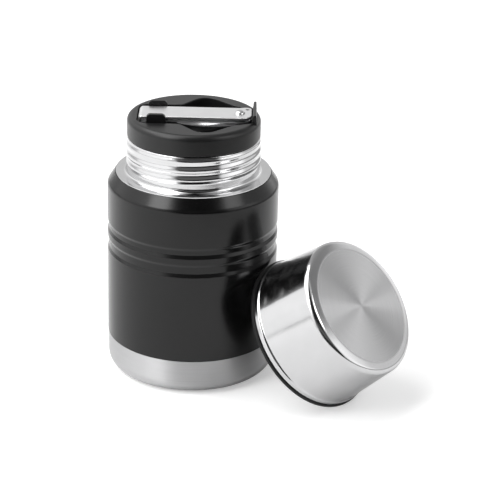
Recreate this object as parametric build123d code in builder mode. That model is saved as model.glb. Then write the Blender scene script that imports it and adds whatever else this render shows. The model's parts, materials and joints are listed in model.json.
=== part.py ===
from build123d import *
import os
from math import cos, hypot, pi, radians, sin, sqrt

# Insulated food jar: a vacuum jar with a screw-in stopper, a folding spoon that is kept in the
# stopper's top, and a steel cup lid that leans against the jar.
# Millimetres, +Z up. The origin is the centre of the jar's flat bottom, and the folded spoon's
# handle lies along X.

# ---------------------------------------------------------------- driving dimensions
BODY_R = 47.5            # coated wall of the jar
SHEET = 0.6              # steel sheet of the jar's outer walls
VESSEL_SHEET = 0.5       # steel sheet of the inner vessel and of the neck

BASE_R = 47.2            # bare steel base cup
BASE_EDGE_R = 8.0        # rounding round the bottom
BASE_FLOOR = 0.8         # thickness of the base cup's floor
COAT_Z = 20.5            # lower edge of the coating, where the base cup ends
SKIRT_R = 46.4           # shell's skirt inside the base cup
SKIRT_Z = 9.8            # lower end of that skirt

GROOVE_DEPTH = 0.75      # rolled grooves round the body
GROOVES = ((70.9, 78.4), (81.8, 88.0))
GROOVE_STEEP = 1.9       # height of a groove's crisp lower flank
GROOVE_SOFT = 1.6        # height of its softer upper flank

SHOULDER_Z = 109.2       # where the wall starts to turn in
SHOULDER_EDGE_R = 4.0
LEDGE_Z = 116.0          # bare flat ledge that the cup lid sits on
LEDGE_R = 43.0

NECK_BAND_R = 37.4       # threaded band of the neck, at the thread's mean radius
NECK_BAND_TOP_Z = 129.4
LIP_R = 36.5             # plain stretch below the lip
LIP_Z = 136.2
MOUTH_R = 35.3           # bore that the stopper goes into

VESSEL_R = 42.0          # inner vessel, outside
VESSEL_FLOOR_Z = 14.0
VESSEL_LOW_SEAM_Z = 27.0  # weld between its bottom and its tube
VESSEL_SEAM_Z = 96.0     # weld between its tube and its neck
VESSEL_SHOULDER_Z = 103.0
VESSEL_NECK_Z = 113.0
VESSEL_EDGE_R = 12.0

CAP_R = 36.7             # stopper's cap
CAP_Z = 136.5
CAP_TOP_Z = 148.1
CAP_EDGE_R = 3.2
CAP_FLOOR_Z = 134.4      # underside of the cap's spigot
SPIGOT_R = 33.2
PLUG_R = 34.9
PLUG_Z = 118.2           # lower end of the plug's tube
PLUG_WALL = 1.6
GASKET_SEAT_Z = 121.4    # top of the gasket's seat on the plug
GASKET_SEAT_R = 34.0
COVER_Z = 116.6          # underside of the plug's cover

POCKET_FLOOR_Z = 145.2   # pocket for the spoon in the cap's top
POCKET_LEFT = (-31.0, 15.7)      # its corners: x and half width
POCKET_RIGHT = (32.5, 12.2)
NOTCH_START = (-7.4, 15.7)       # from here its side swings out for a finger
NOTCH_BACK = ((2.5, 28.8), (9.8, 28.6))
NOTCH_END = (21.5, 16.6)
NOTCH_BACK_R = 7.5
NOTCH_FLOOR_Z = 139.2
CAP_LIP_R = 0.45         # small rounding of the moulded edges
CLIP_LEFT_X = -25.6      # pair of snap tabs that hold the handle
CLIP_RIGHT_X = -15.1
CLIP_Y = 10.4
CLIP_THICKNESS = 2.5
CLIP_TOP_Z = 152.0
CLIP_EDGE_R = 2.2
FIN_HALF = 12.0          # upright fin at the pocket's right end
FIN_TOP_Z = 152.3
FIN_FOOT_X = (32.0, 34.3)
FIN_TOP_X = (32.5, 34.0)

HANDLE_LEFT_X = -30.0    # folded strip that makes the spoon's handle
HANDLE_RIGHT_X = 31.7
HANDLE_HALF = 8.75
HANDLE_TOP_Z = 149.5
HANDLE_SHEET = 0.8
HANDLE_END_R = 6.0
HANDLE_LEFT_R = 1.8
HANDLE_EDGE_R = 0.5      # rounding along the upper leaf's edge
HANDLE_LIP_Z = 148.15    # lower edge of the lip round the upper leaf
LEAF_TOP_Z = 147.25      # lower leaf
LEAF_LOW_TOP_Z = 146.05  # lower leaf where it dips at the left end
DIP_X = (-18.5, -13.5)   # where the lower leaf climbs out of the dip
EAR_X = (24.6, 26.8)     # where the edge swings out to the ear at the handle's corner
EAR_HALF = 9.5
EAR_R = 2.9
EAR_HOLE = (29.2, 5.8)
EAR_HOLE_R = 1.1

PIVOT_X = 25.0           # rivet that the spoon folds on
PIVOT_R = 1.6
RIVET_HEAD_R = 2.9
RIVET_HEAD = 1.5
RIVET_TAIL_R = 2.6
RIVET_TAIL = 0.8
COLLAR_R = 3.0
WASHER_R = 4.2
TURN_GAP = 0.05          # running clearance at the rivet

RIM_Z = 146.1            # top face of the spoon's bowl plate
BOWL_SHEET = 0.9
BOWL_X = 9.0             # widest place of the egg-shaped plate
BOWL_TIP = 22.0          # from there to the tip
BOWL_HEEL = 19.5         # from there to the heel, beyond the rivet
BOWL_HALF = 14.0
DISH_X = 3.4
DISH_HALF_LENGTH = 15.2
DISH_HALF = 12.2
DISH_DEPTH = 8.0
DISH_LEVELS = (0.0, 0.3, 0.6, 0.82, 0.97)
WELL_GAP = 2.4           # room round the dish in the cap

CUP_RIM_R = 43.6         # black ring round the cup lid's rim
CUP_RIM_EDGE_R = 0.5
CUP_RIM = 1.9            # height of that ring
CUP_BEAD_R = 42.8        # rolled bead of the steel next to it
CUP_BEAD = 4.7
CUP_WALL_R = 42.1        # wall just past the bead
CUP_END_R = 38.7         # where the tapered wall would meet the end
CUP_HEIGHT = 41.3
CUP_EDGE_R = 4.6
CUP_SHEET = 0.6
LINER_R = 38.5           # bore of the cup's threaded liner
LINER_HEIGHT = 14.0

LEAN_AZIMUTH = -27.6     # direction of the cup's rim centre from the jar's axis
LEAN_FACING = -33.2      # direction in which the cup's closed end looks
LEAN_TILT = 38.4         # rise of the cup's axis above the floor
LEAN_GAP = 0.3           # space left between the rim and the jar's wall

os.makedirs("parts", exist_ok=True)


def outline(*corners):
    """Close an outline through corners given as (x, y, corner radius)."""
    points = [(x, y) for x, y, _ in corners]
    FilletPolyline(*points, radius=[radius for _, _, radius in corners], close=True)


def mirrored(*side):
    """Corners of an outline that is the same on both sides of the X axis, from those of one side."""
    return [*side, *((x, -y, radius) for x, y, radius in reversed(side))]


def finish(builder, name):
    """Label a finished piece and write it to its own file."""
    builder.part.label = name
    export_step(builder.part, f"parts/{name}.step")


# ---------------------------------------------------------------- vacuum jar

def grooved_wall(radius):
    """Corners of the body wall from the coating's edge to the shoulder, rolled grooves included."""
    corners = [(radius, COAT_Z, 0)]
    for low, high in GROOVES:
        corners += [
            (radius, low, 0.5),
            (radius - GROOVE_DEPTH, low + GROOVE_STEEP, 1.0),
            (radius - GROOVE_DEPTH, high - GROOVE_SOFT, 2.0),
            (radius, high, 2.0),
        ]
    return corners


with BuildPart() as outer_shell:
    with BuildSketch(Plane.XZ):
        with BuildLine():
            outline(
                *grooved_wall(BODY_R),
                (BODY_R, SHOULDER_Z, SHOULDER_EDGE_R),
                (LEDGE_R, LEDGE_Z, 0),
                (LEDGE_R, LEDGE_Z - 1.2 * SHEET, 0),
                (BODY_R - SHEET, SHOULDER_Z - SHEET, SHOULDER_EDGE_R - SHEET),
                *reversed(grooved_wall(BODY_R - SHEET)[1:]),
                (BODY_R - SHEET, COAT_Z + SHEET, 0.3),
                (SKIRT_R - SHEET, COAT_Z + SHEET, 0.3),
                (SKIRT_R - SHEET, SKIRT_Z, 0),
                (SKIRT_R, SKIRT_Z, 0),
                (SKIRT_R, COAT_Z, 0),
            )
        make_face()
    revolve(axis=Axis.Z)
finish(outer_shell, "outer_shell")

# Bare neck: flat ledge, concave root, threaded band and a lip that is rolled in to the vessel.
with BuildPart() as neck_collar:
    with BuildSketch(Plane.XZ):
        with BuildLine():
            outline(
                (LEDGE_R, LEDGE_Z - SHEET, 0),
                (LEDGE_R, LEDGE_Z, 0),
                (NECK_BAND_R, LEDGE_Z, 2.2),
                (NECK_BAND_R, NECK_BAND_TOP_Z, 1.2),
                (LIP_R, NECK_BAND_TOP_Z + 1.2, 1.2),
                (LIP_R, LIP_Z, 0.6),
                (MOUTH_R, LIP_Z, 0.3),
                (MOUTH_R, LIP_Z - 2 * VESSEL_SHEET, 0),
                (LIP_R - VESSEL_SHEET, LIP_Z - 2 * VESSEL_SHEET, 0),
                (LIP_R - VESSEL_SHEET, NECK_BAND_TOP_Z + 1.0, 1.0),
                (NECK_BAND_R - VESSEL_SHEET, NECK_BAND_TOP_Z - 0.2, 1.0),
                (NECK_BAND_R - VESSEL_SHEET, LEDGE_Z - SHEET, 1.7),
            )
        make_face()
    revolve(axis=Axis.Z)
finish(neck_collar, "neck_collar")

# Inner vessel that the food stands in: a pressed bottom and a tube, butt welded.
with BuildPart() as vessel_bottom:
    with BuildSketch(Plane.XZ):
        with BuildLine():
            outline(
                (0, VESSEL_FLOOR_Z, 0),
                (VESSEL_R, VESSEL_FLOOR_Z, VESSEL_EDGE_R),
                (VESSEL_R, VESSEL_LOW_SEAM_Z, 0),
                (VESSEL_R - VESSEL_SHEET, VESSEL_LOW_SEAM_Z, 0),
                (VESSEL_R - VESSEL_SHEET, VESSEL_FLOOR_Z + VESSEL_SHEET, VESSEL_EDGE_R - VESSEL_SHEET),
                (0, VESSEL_FLOOR_Z + VESSEL_SHEET, 0),
            )
        make_face()
    revolve(axis=Axis.Z)
finish(vessel_bottom, "vessel_bottom")

with BuildPart() as inner_vessel:
    with BuildSketch(Plane.XY.offset(VESSEL_LOW_SEAM_Z)):
        Circle(VESSEL_R)
        Circle(VESSEL_R - VESSEL_SHEET, mode=Mode.SUBTRACT)
    extrude(amount=VESSEL_SEAM_Z - VESSEL_LOW_SEAM_Z)
finish(inner_vessel, "inner_vessel")

# Shoulder and neck of the vessel, welded to the tube at the seam and to the collar at the lip.
with BuildPart() as vessel_neck:
    with BuildSketch(Plane.XZ):
        with BuildLine():
            outline(
                (VESSEL_R, VESSEL_SEAM_Z, 0),
                (VESSEL_R, VESSEL_SHOULDER_Z, 8.0),
                (MOUTH_R + VESSEL_SHEET, VESSEL_NECK_Z, 4.0),
                (MOUTH_R + VESSEL_SHEET, LIP_Z - 2 * VESSEL_SHEET, 0),
                (MOUTH_R, LIP_Z - 2 * VESSEL_SHEET, 0),
                (MOUTH_R, VESSEL_NECK_Z, 4.0 + VESSEL_SHEET),
                (VESSEL_R - VESSEL_SHEET, VESSEL_SHOULDER_Z - 0.3, 8.0 - VESSEL_SHEET),
                (VESSEL_R - VESSEL_SHEET, VESSEL_SEAM_Z, 0),
            )
        make_face()
    revolve(axis=Axis.Z)
finish(vessel_neck, "vessel_neck")

FOIL_LOW_Z = VESSEL_LOW_SEAM_Z
FOIL_HIGH_Z = VESSEL_SEAM_Z
FOIL_SHEET = 0.1
with BuildPart() as radiation_foil:
    with BuildSketch(Plane.XY.offset(FOIL_LOW_Z)):
        Circle(VESSEL_R + FOIL_SHEET)
        Circle(VESSEL_R, mode=Mode.SUBTRACT)
    extrude(amount=FOIL_HIGH_Z - FOIL_LOW_Z)
finish(radiation_foil, "radiation_foil")

# Getter pellet in a clip under the vessel's floor. It keeps the vacuum clean.
GETTER_X = 20.0
GETTER_R = 4.5
GETTER_HEIGHT = 2.0
CLIP_SHEET = 0.3
with BuildPart() as getter:
    with BuildSketch(Plane.XY.offset(VESSEL_FLOOR_Z - GETTER_HEIGHT)):
        with Locations((GETTER_X, 0)):
            Circle(GETTER_R)
    extrude(amount=GETTER_HEIGHT)
finish(getter, "getter")

with BuildPart() as getter_clip:
    with BuildSketch(Plane.XY.offset(VESSEL_FLOOR_Z - GETTER_HEIGHT - CLIP_SHEET)):
        with Locations((GETTER_X, 0)):
            SlotOverall(4 * GETTER_R, GETTER_R)
    extrude(amount=GETTER_HEIGHT + CLIP_SHEET)
    with BuildSketch(Plane.XY.offset(VESSEL_FLOOR_Z - GETTER_HEIGHT)):
        with Locations((GETTER_X, 0)):
            Circle(GETTER_R)
    extrude(amount=GETTER_HEIGHT, mode=Mode.SUBTRACT)
finish(getter_clip, "getter_clip")

# Plate that closes the shell, with the dimple that the air was drawn out through.
DIMPLE_R = 5.0
DIMPLE_DEPTH = 1.6
PUMP_HOLE_R = 1.0
with BuildPart() as base_plate:
    with BuildSketch(Plane.XZ):
        with BuildLine():
            outline(
                (PUMP_HOLE_R, SKIRT_Z + DIMPLE_DEPTH, 0),
                (PUMP_HOLE_R, SKIRT_Z + DIMPLE_DEPTH + SHEET, 0),
                (DIMPLE_R, SKIRT_Z + DIMPLE_DEPTH + SHEET, 1.0),
                (DIMPLE_R + SHEET, SKIRT_Z + SHEET, 0.4),
                (SKIRT_R - SHEET, SKIRT_Z + SHEET, 0),
                (SKIRT_R - SHEET, SKIRT_Z, 0),
                (DIMPLE_R, SKIRT_Z, 0.4),
                (DIMPLE_R - SHEET, SKIRT_Z + DIMPLE_DEPTH, 0.4),
            )
        make_face()
    revolve(axis=Axis.Z)
finish(base_plate, "base_plate")

with BuildPart() as seal_bead:
    with BuildSketch(Plane.XZ):
        with BuildLine():
            outline(
                (0, SKIRT_Z + 0.4, 0),
                (3.2, SKIRT_Z + 0.4, 0.7),
                (3.4, SKIRT_Z + DIMPLE_DEPTH, 0),
                (PUMP_HOLE_R, SKIRT_Z + DIMPLE_DEPTH, 0),
                (PUMP_HOLE_R, SKIRT_Z + DIMPLE_DEPTH + SHEET, 0),
                (0, SKIRT_Z + DIMPLE_DEPTH + SHEET, 0),
            )
        make_face()
    revolve(axis=Axis.Z)
finish(seal_bead, "seal_bead")

# Brushed base cup pressed over the skirt, with a shallow ring pressed into its bottom.
RING_R = (25.0, 28.0)
RING_DEPTH = 0.4
with BuildPart() as base_cup:
    with BuildSketch(Plane.XZ):
        with BuildLine():
            outline(
                (0, 0, 0),
                (RING_R[0], 0, 0.3),
                (RING_R[0] + RING_DEPTH, RING_DEPTH, 0.3),
                (RING_R[1] - RING_DEPTH, RING_DEPTH, 0.3),
                (RING_R[1], 0, 0.3),
                (BASE_R, 0, BASE_EDGE_R),
                (BASE_R, COAT_Z, 0.2),
                (SKIRT_R, COAT_Z, 0),
                (SKIRT_R, BASE_FLOOR, BASE_EDGE_R - BASE_FLOOR),
                (0, BASE_FLOOR, 0),
            )
        make_face()
    revolve(axis=Axis.Z)
finish(base_cup, "base_cup")

# ---------------------------------------------------------------- spoon's bowl shape


def dish_sections(gap):
    """Ellipses of the spoon's dish, grown by a gap, that shrink downwards as a quarter ellipse."""
    sections = []
    for level in DISH_LEVELS:
        shrink = sqrt(1 - level**2)
        with BuildSketch(Plane.XY.offset(RIM_Z - level * (DISH_DEPTH + gap))) as section:
            with Locations((DISH_X, 0)):
                Ellipse(DISH_HALF_LENGTH * shrink + gap, DISH_HALF * shrink + gap)
        sections.append(section.sketch)
    return sections


inner_dish = dish_sections(0)
outer_dish = dish_sections(BOWL_SHEET)
well = dish_sections(WELL_GAP)

# ---------------------------------------------------------------- stopper


def is_pocket_rim(edge):
    """Whether an edge of the cap runs round the pocket's mouth, left of the fin."""
    middle = edge @ 0.5
    level = edge.bounding_box().size.Z < 0.01 and abs(middle.Z - CAP_TOP_Z) < 0.01
    inside = hypot(middle.X, middle.Y) < CAP_R - CAP_EDGE_R - 0.1
    return level and inside and middle.X < FIN_FOOT_X[0] - 0.1


def is_clip_rim(edge):
    """Whether an edge of the cap runs over the inner or outer face of a snap tab."""
    box = edge.bounding_box()
    return box.min.Z > CAP_TOP_Z + 1 and box.max.X < 0 and box.size.Y < 0.01


# Moulded cap: a round body with the spoon's pocket, whose sides swing out into finger notches, a
# well under the spoon's dish, two snap tabs for the handle and an upright fin at the rivet's end.
with BuildPart() as stopper_cap:
    with BuildSketch(Plane.XZ):
        with BuildLine():
            outline(
                (0, CAP_FLOOR_Z, 0),
                (SPIGOT_R, CAP_FLOOR_Z, 0),
                (SPIGOT_R, CAP_Z, 0),
                (CAP_R, CAP_Z, 0.5),
                (CAP_R, CAP_TOP_Z, CAP_EDGE_R),
                (0, CAP_TOP_Z, 0),
            )
        make_face()
    revolve(axis=Axis.Z)

    with BuildSketch(Plane.XY.offset(POCKET_FLOOR_Z)):
        with BuildLine():
            pocket_side = (
                (*POCKET_LEFT, 6.0),
                (*NOTCH_START, 5.0),
                (*NOTCH_BACK[0], NOTCH_BACK_R),
                (*NOTCH_BACK[1], NOTCH_BACK_R),
                (*NOTCH_END, 12.0),
                (*POCKET_RIGHT, 3.0),
            )
            outline(*mirrored(*pocket_side))
        make_face()
    extrude(amount=CAP_TOP_Z - POCKET_FLOOR_Z, mode=Mode.SUBTRACT)

    with BuildSketch(Plane.XY.offset(NOTCH_FLOOR_Z)):
        with BuildLine():
            notch_side = (
                (*NOTCH_START, 3.0),
                (*NOTCH_BACK[0], NOTCH_BACK_R),
                (*NOTCH_BACK[1], NOTCH_BACK_R),
                (*NOTCH_END, 5.0),
            )
            outline(*mirrored(*notch_side))
        make_face()
    extrude(amount=CAP_TOP_Z - NOTCH_FLOOR_Z, mode=Mode.SUBTRACT)
    loft(sections=well, mode=Mode.SUBTRACT)
    with BuildSketch(Plane.XY.offset(POCKET_FLOOR_Z)):
        with Locations((PIVOT_X, 0)):
            Circle(RIVET_TAIL_R + 0.8)
    extrude(amount=-RIVET_TAIL - 0.5, mode=Mode.SUBTRACT)

    for side in (-1, 1):
        clip_plane = Plane.XZ.offset(-side * CLIP_Y)
        with BuildSketch(clip_plane):
            with BuildLine():
                outline(
                    (CLIP_LEFT_X, POCKET_FLOOR_Z - 1, 0),
                    (CLIP_RIGHT_X, POCKET_FLOOR_Z - 1, 0),
                    (CLIP_RIGHT_X, CLIP_TOP_Z, CLIP_EDGE_R),
                    (CLIP_LEFT_X, CLIP_TOP_Z, CLIP_EDGE_R),
                )
            make_face()
        extrude(amount=-side * CLIP_THICKNESS)

    with BuildSketch(Plane.XZ):
        with BuildLine():
            outline(
                (FIN_FOOT_X[0], POCKET_FLOOR_Z - 1, 0),
                (FIN_FOOT_X[1], POCKET_FLOOR_Z - 1, 0),
                (FIN_FOOT_X[1], CAP_TOP_Z, 0),
                (FIN_TOP_X[1], FIN_TOP_Z, 0.6),
                (FIN_TOP_X[0], FIN_TOP_Z, 0.6),
                (FIN_FOOT_X[0], CAP_TOP_Z, 0),
            )
        make_face()
    extrude(amount=FIN_HALF, both=True)
    rims = [edge for edge in edges() if is_pocket_rim(edge) or is_clip_rim(edge)]
    fillet(rims, radius=CAP_LIP_R)
finish(stopper_cap, "stopper_cap")

# Tube of the plug, with a seat for the gasket round its lower end.
with BuildPart() as stopper_plug:
    with BuildSketch(Plane.XZ):
        with BuildLine():
            outline(
                (PLUG_R - PLUG_WALL, PLUG_Z, 0),
                (GASKET_SEAT_R, PLUG_Z, 0),
                (GASKET_SEAT_R, GASKET_SEAT_Z, 0),
                (PLUG_R, GASKET_SEAT_Z, 0.4),
                (PLUG_R, CAP_Z, 0),
                (PLUG_R - PLUG_WALL, CAP_Z, 0),
            )
        make_face()
    revolve(axis=Axis.Z)
finish(stopper_plug, "stopper_plug")

COVER_SPIGOT = 1.8
with BuildPart() as plug_cover:
    with BuildSketch(Plane.XZ):
        with BuildLine():
            outline(
                (0, COVER_Z, 0),
                (PLUG_R - 0.3, COVER_Z, 0.8),
                (PLUG_R - 0.3, PLUG_Z, 0),
                (PLUG_R - PLUG_WALL, PLUG_Z, 0),
                (PLUG_R - PLUG_WALL, PLUG_Z + COVER_SPIGOT, 0),
                (0, PLUG_Z + COVER_SPIGOT, 0),
            )
        make_face()
    revolve(axis=Axis.Z)
finish(plug_cover, "plug_cover")

with BuildPart() as plug_foam:
    with BuildSketch(Plane.XY.offset(PLUG_Z + COVER_SPIGOT)):
        Circle(PLUG_R - PLUG_WALL)
    extrude(amount=CAP_FLOOR_Z - PLUG_Z - COVER_SPIGOT)
finish(plug_foam, "plug_foam")

# Silicone ring on the plug's seat, with two rounded lips.
GASKET_GAP = 0.1
GASKET_R = MOUTH_R - 0.3
GASKET_LOW_Z = PLUG_Z + GASKET_GAP
GASKET_HIGH_Z = GASKET_SEAT_Z - GASKET_GAP
GASKET_MID_Z = (GASKET_LOW_Z + GASKET_HIGH_Z) / 2
with BuildPart() as stopper_gasket:
    with BuildSketch(Plane.XZ):
        with BuildLine():
            outline(
                (GASKET_SEAT_R + GASKET_GAP, GASKET_LOW_Z, 0),
                (GASKET_R, GASKET_LOW_Z, 0.5),
                (GASKET_R, GASKET_MID_Z - 0.3, 0.3),
                (GASKET_R - 0.5, GASKET_MID_Z, 0.2),
                (GASKET_R, GASKET_MID_Z + 0.3, 0.3),
                (GASKET_R, GASKET_HIGH_Z, 0.5),
                (GASKET_SEAT_R + GASKET_GAP, GASKET_HIGH_Z, 0),
            )
        make_face()
    revolve(axis=Axis.Z)
finish(stopper_gasket, "stopper_gasket")

# ---------------------------------------------------------------- folding spoon

LEAF_Z = LEAF_TOP_Z - HANDLE_SHEET
LEAF_LOW_Z = LEAF_LOW_TOP_Z - HANDLE_SHEET
HANDLE_INNER_Z = HANDLE_TOP_Z - HANDLE_SHEET

with BuildSketch(Plane.XY.offset(LEAF_LOW_Z)) as handle_plan:
    with BuildLine():
        outline(
            (HANDLE_LEFT_X, -HANDLE_HALF, HANDLE_LEFT_R),
            (HANDLE_RIGHT_X, -HANDLE_HALF, HANDLE_END_R),
            (HANDLE_RIGHT_X, EAR_HALF, EAR_R),
            (EAR_X[1], EAR_HALF, 2.0),
            (EAR_X[0], HANDLE_HALF, 2.0),
            (HANDLE_LEFT_X, HANDLE_HALF, HANDLE_LEFT_R),
        )
    make_face()

# The room that the handle may fill, rounded along the upper leaf's edge.
with BuildPart() as handle_block:
    add(handle_plan.sketch)
    extrude(amount=HANDLE_TOP_Z - LEAF_LOW_Z)
    fillet(faces().sort_by(Axis.Z)[-1].edges(), radius=HANDLE_EDGE_R)

# Handle: one strip folded back on itself like a hairpin, lipped round the upper leaf.
with BuildPart() as spoon_handle:
    with BuildSketch(Plane.XZ):
        with BuildLine():
            outline(
                (HANDLE_RIGHT_X + 1, HANDLE_TOP_Z, 0),
                (HANDLE_LEFT_X, HANDLE_TOP_Z, 1.9),
                (HANDLE_LEFT_X, LEAF_LOW_Z, 1.9),
                (DIP_X[0], LEAF_LOW_Z, 3.0),
                (DIP_X[1], LEAF_Z, 3.0),
                (HANDLE_RIGHT_X + 1, LEAF_Z, 0),
                (HANDLE_RIGHT_X + 1, LEAF_TOP_Z, 0),
                (DIP_X[1], LEAF_TOP_Z, 2.2),
                (DIP_X[0], LEAF_LOW_TOP_Z, 2.2),
                (HANDLE_LEFT_X + HANDLE_SHEET, LEAF_LOW_TOP_Z, 1.1),
                (HANDLE_LEFT_X + HANDLE_SHEET, HANDLE_INNER_Z, 1.1),
                (HANDLE_RIGHT_X + 1, HANDLE_INNER_Z, 0),
            )
        make_face()
    extrude(amount=HANDLE_HALF + 1, both=True)
    add(handle_block.part, mode=Mode.INTERSECT)
    with BuildSketch(Plane.XY.offset(HANDLE_LIP_Z)):
        add(handle_plan.sketch.moved(Location((0, 0, HANDLE_LIP_Z - LEAF_LOW_Z))))
        offset(amount=-HANDLE_SHEET, kind=Kind.ARC, mode=Mode.SUBTRACT)
    extrude(amount=HANDLE_INNER_Z - HANDLE_LIP_Z)
    with BuildSketch(Plane.XY.offset(HANDLE_TOP_Z)):
        with Locations((PIVOT_X, 0)):
            Circle(PIVOT_R)
        with Locations(EAR_HOLE):
            Circle(EAR_HOLE_R)
    extrude(amount=LEAF_LOW_Z - HANDLE_TOP_Z, mode=Mode.SUBTRACT)
finish(spoon_handle, "spoon_handle")

# Bowl: an egg-shaped plate whose dish hangs below it, with a hole for the rivet in its heel.
with BuildPart() as spoon_bowl:
    with BuildSketch(Plane.XY.offset(RIM_Z - BOWL_SHEET)):
        with BuildLine():
            EllipticalCenterArc((BOWL_X, 0), BOWL_HEEL, BOWL_HALF, start_angle=-90, arc_size=180)
            EllipticalCenterArc((BOWL_X, 0), BOWL_TIP, BOWL_HALF, start_angle=90, arc_size=180)
        make_face()
    extrude(amount=BOWL_SHEET)
    loft(sections=outer_dish)
    loft(sections=inner_dish, mode=Mode.SUBTRACT)
    with BuildSketch(Plane.XY.offset(RIM_Z)):
        with Locations((PIVOT_X, 0)):
            Circle(PIVOT_R + TURN_GAP)
    extrude(amount=-BOWL_SHEET, mode=Mode.SUBTRACT)
finish(spoon_bowl, "spoon_bowl")

# Rivet with a domed head over the upper leaf and a flat tail under the bowl's heel.
RIVET_LOW_Z = RIM_Z - BOWL_SHEET - TURN_GAP
with BuildPart() as spoon_rivet:
    with BuildSketch(Plane(origin=(PIVOT_X, 0, 0), x_dir=(1, 0, 0), z_dir=(0, -1, 0))):
        with BuildLine():
            dome = ThreePointArc(
                (0, HANDLE_TOP_Z + RIVET_HEAD),
                (RIVET_HEAD_R * sin(pi / 4), HANDLE_TOP_Z + RIVET_HEAD * 0.72),
                (RIVET_HEAD_R, HANDLE_TOP_Z),
            )
            Polyline(
                dome @ 1,
                (PIVOT_R, HANDLE_TOP_Z),
                (PIVOT_R, RIVET_LOW_Z),
                (RIVET_TAIL_R, RIVET_LOW_Z),
                (RIVET_TAIL_R - 0.3, RIVET_LOW_Z - RIVET_TAIL),
                (0, RIVET_LOW_Z - RIVET_TAIL),
                dome @ 0,
            )
        make_face()
    revolve(axis=Axis((PIVOT_X, 0, 0), (0, 0, 1)))
finish(spoon_rivet, "spoon_rivet")

with BuildPart() as rivet_collar:
    with BuildSketch(Plane.XY.offset(LEAF_TOP_Z)):
        with Locations((PIVOT_X, 0)):
            Circle(COLLAR_R)
            Circle(PIVOT_R, mode=Mode.SUBTRACT)
    extrude(amount=HANDLE_INNER_Z - LEAF_TOP_Z)
finish(rivet_collar, "rivet_collar")

with BuildPart() as spoon_washer:
    with BuildSketch(Plane.XY.offset(RIM_Z + TURN_GAP)):
        with Locations((PIVOT_X, 0)):
            Circle(WASHER_R)
            Circle(PIVOT_R, mode=Mode.SUBTRACT)
    extrude(amount=LEAF_Z - RIM_Z - TURN_GAP)
finish(spoon_washer, "spoon_washer")

# ---------------------------------------------------------------- cup lid, leaning on the jar

TILT = radians(LEAN_TILT)
FACING = radians(LEAN_FACING)
AZIMUTH = radians(LEAN_AZIMUTH)
RIM_CORE_R = CUP_RIM_R - CUP_RIM_EDGE_R
CUP_AXIS = Vector(cos(TILT) * cos(FACING), cos(TILT) * sin(FACING), sin(TILT))
CUP_UP = Vector(-sin(TILT) * cos(FACING), -sin(TILT) * sin(FACING), cos(TILT))
CUP_LEVEL = Vector(-sin(FACING), cos(FACING), 0)

# The rim's rounded edge rests on the floor, so the rim's centre stands this high.
RIM_CENTRE_Z = RIM_CORE_R * cos(TILT) - CUP_RIM_EDGE_R * sin(TILT) + CUP_RIM_EDGE_R


def rim_centre(distance):
    """Centre of the cup's rim plane at a distance from the jar's axis."""
    return Vector(distance * cos(AZIMUTH), distance * sin(AZIMUTH), RIM_CENTRE_Z)


def wall_gap(distance):
    """Space between the rim's rounded edge and the jar's wall, with the rim at that distance."""
    core = rim_centre(distance) + CUP_AXIS * CUP_RIM_EDGE_R
    reach = []
    for step in range(720):
        turn = pi * step / 360
        point = core + CUP_UP * (RIM_CORE_R * cos(turn)) + CUP_LEVEL * (RIM_CORE_R * sin(turn))
        reach.append(hypot(point.X, point.Y))
    return min(reach) - CUP_RIM_EDGE_R - BODY_R


lean_distance = BODY_R + CUP_RIM_R * sin(TILT)
for _ in range(8):
    lean_distance += LEAN_GAP - wall_gap(lean_distance)
CUP_ORIGIN = rim_centre(lean_distance)

# In this plane x is the cup's radius and y runs from its rim to its closed end.
CUP_SECTION = Plane(origin=CUP_ORIGIN, x_dir=CUP_LEVEL, z_dir=CUP_LEVEL.cross(CUP_AXIS))
CUP_TURN = Axis(CUP_ORIGIN, CUP_AXIS)

with BuildPart() as cup_shell:
    with BuildSketch(CUP_SECTION):
        with BuildLine():
            outline(
                (0, CUP_HEIGHT, 0),
                (CUP_END_R, CUP_HEIGHT, CUP_EDGE_R),
                (CUP_WALL_R, CUP_BEAD + 0.8, 1.0),
                (CUP_BEAD_R, CUP_BEAD, 0.6),
                (CUP_BEAD_R, CUP_RIM, 0),
                (CUP_BEAD_R - CUP_SHEET, CUP_RIM, 0),
                (CUP_BEAD_R - CUP_SHEET, CUP_BEAD, 0.4),
                (CUP_WALL_R - CUP_SHEET, CUP_BEAD + 0.8, 0.8),
                (CUP_END_R - CUP_SHEET, CUP_HEIGHT - CUP_SHEET, CUP_EDGE_R - CUP_SHEET),
                (0, CUP_HEIGHT - CUP_SHEET, 0),
            )
        make_face()
    revolve(axis=CUP_TURN)
finish(cup_shell, "cup_shell")

# Liner: the black ring at the rim and a skirt for the thread that lines the steel.
LINER_SKIRT_R = CUP_WALL_R - CUP_SHEET - 0.2
LINER_TAPER = (CUP_WALL_R - CUP_END_R) / (CUP_HEIGHT - CUP_BEAD)
with BuildPart() as cup_liner:
    with BuildSketch(CUP_SECTION):
        with BuildLine():
            outline(
                (LINER_R, 0, 0.4),
                (CUP_RIM_R, 0, CUP_RIM_EDGE_R),
                (CUP_RIM_R, CUP_RIM, CUP_RIM_EDGE_R),
                (LINER_SKIRT_R, CUP_RIM, 0),
                (LINER_SKIRT_R, CUP_BEAD, 0),
                (LINER_SKIRT_R - LINER_TAPER * (LINER_HEIGHT - CUP_BEAD), LINER_HEIGHT, 0.4),
                (LINER_R, LINER_HEIGHT, 0.3),
            )
        make_face()
    revolve(axis=CUP_TURN)
finish(cup_liner, "cup_liner")
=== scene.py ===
"""Finished look of an insulated food jar.

The CAD model is loaded as a fixed frame. The turned and pressed pieces are worked out again as
fine surfaces with their threads, rolled edges and brushing, the other pieces keep their CAD
solids, and every piece gets a procedural finish. Profiles are in millimetres, the studio in metres.
"""

import json
from math import cos, hypot, pi, radians, sin, tau

import bpy
import numpy as np
from bpy.props import FloatProperty, FloatVectorProperty, IntProperty, PointerProperty
from mathutils import Matrix, Vector


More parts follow.
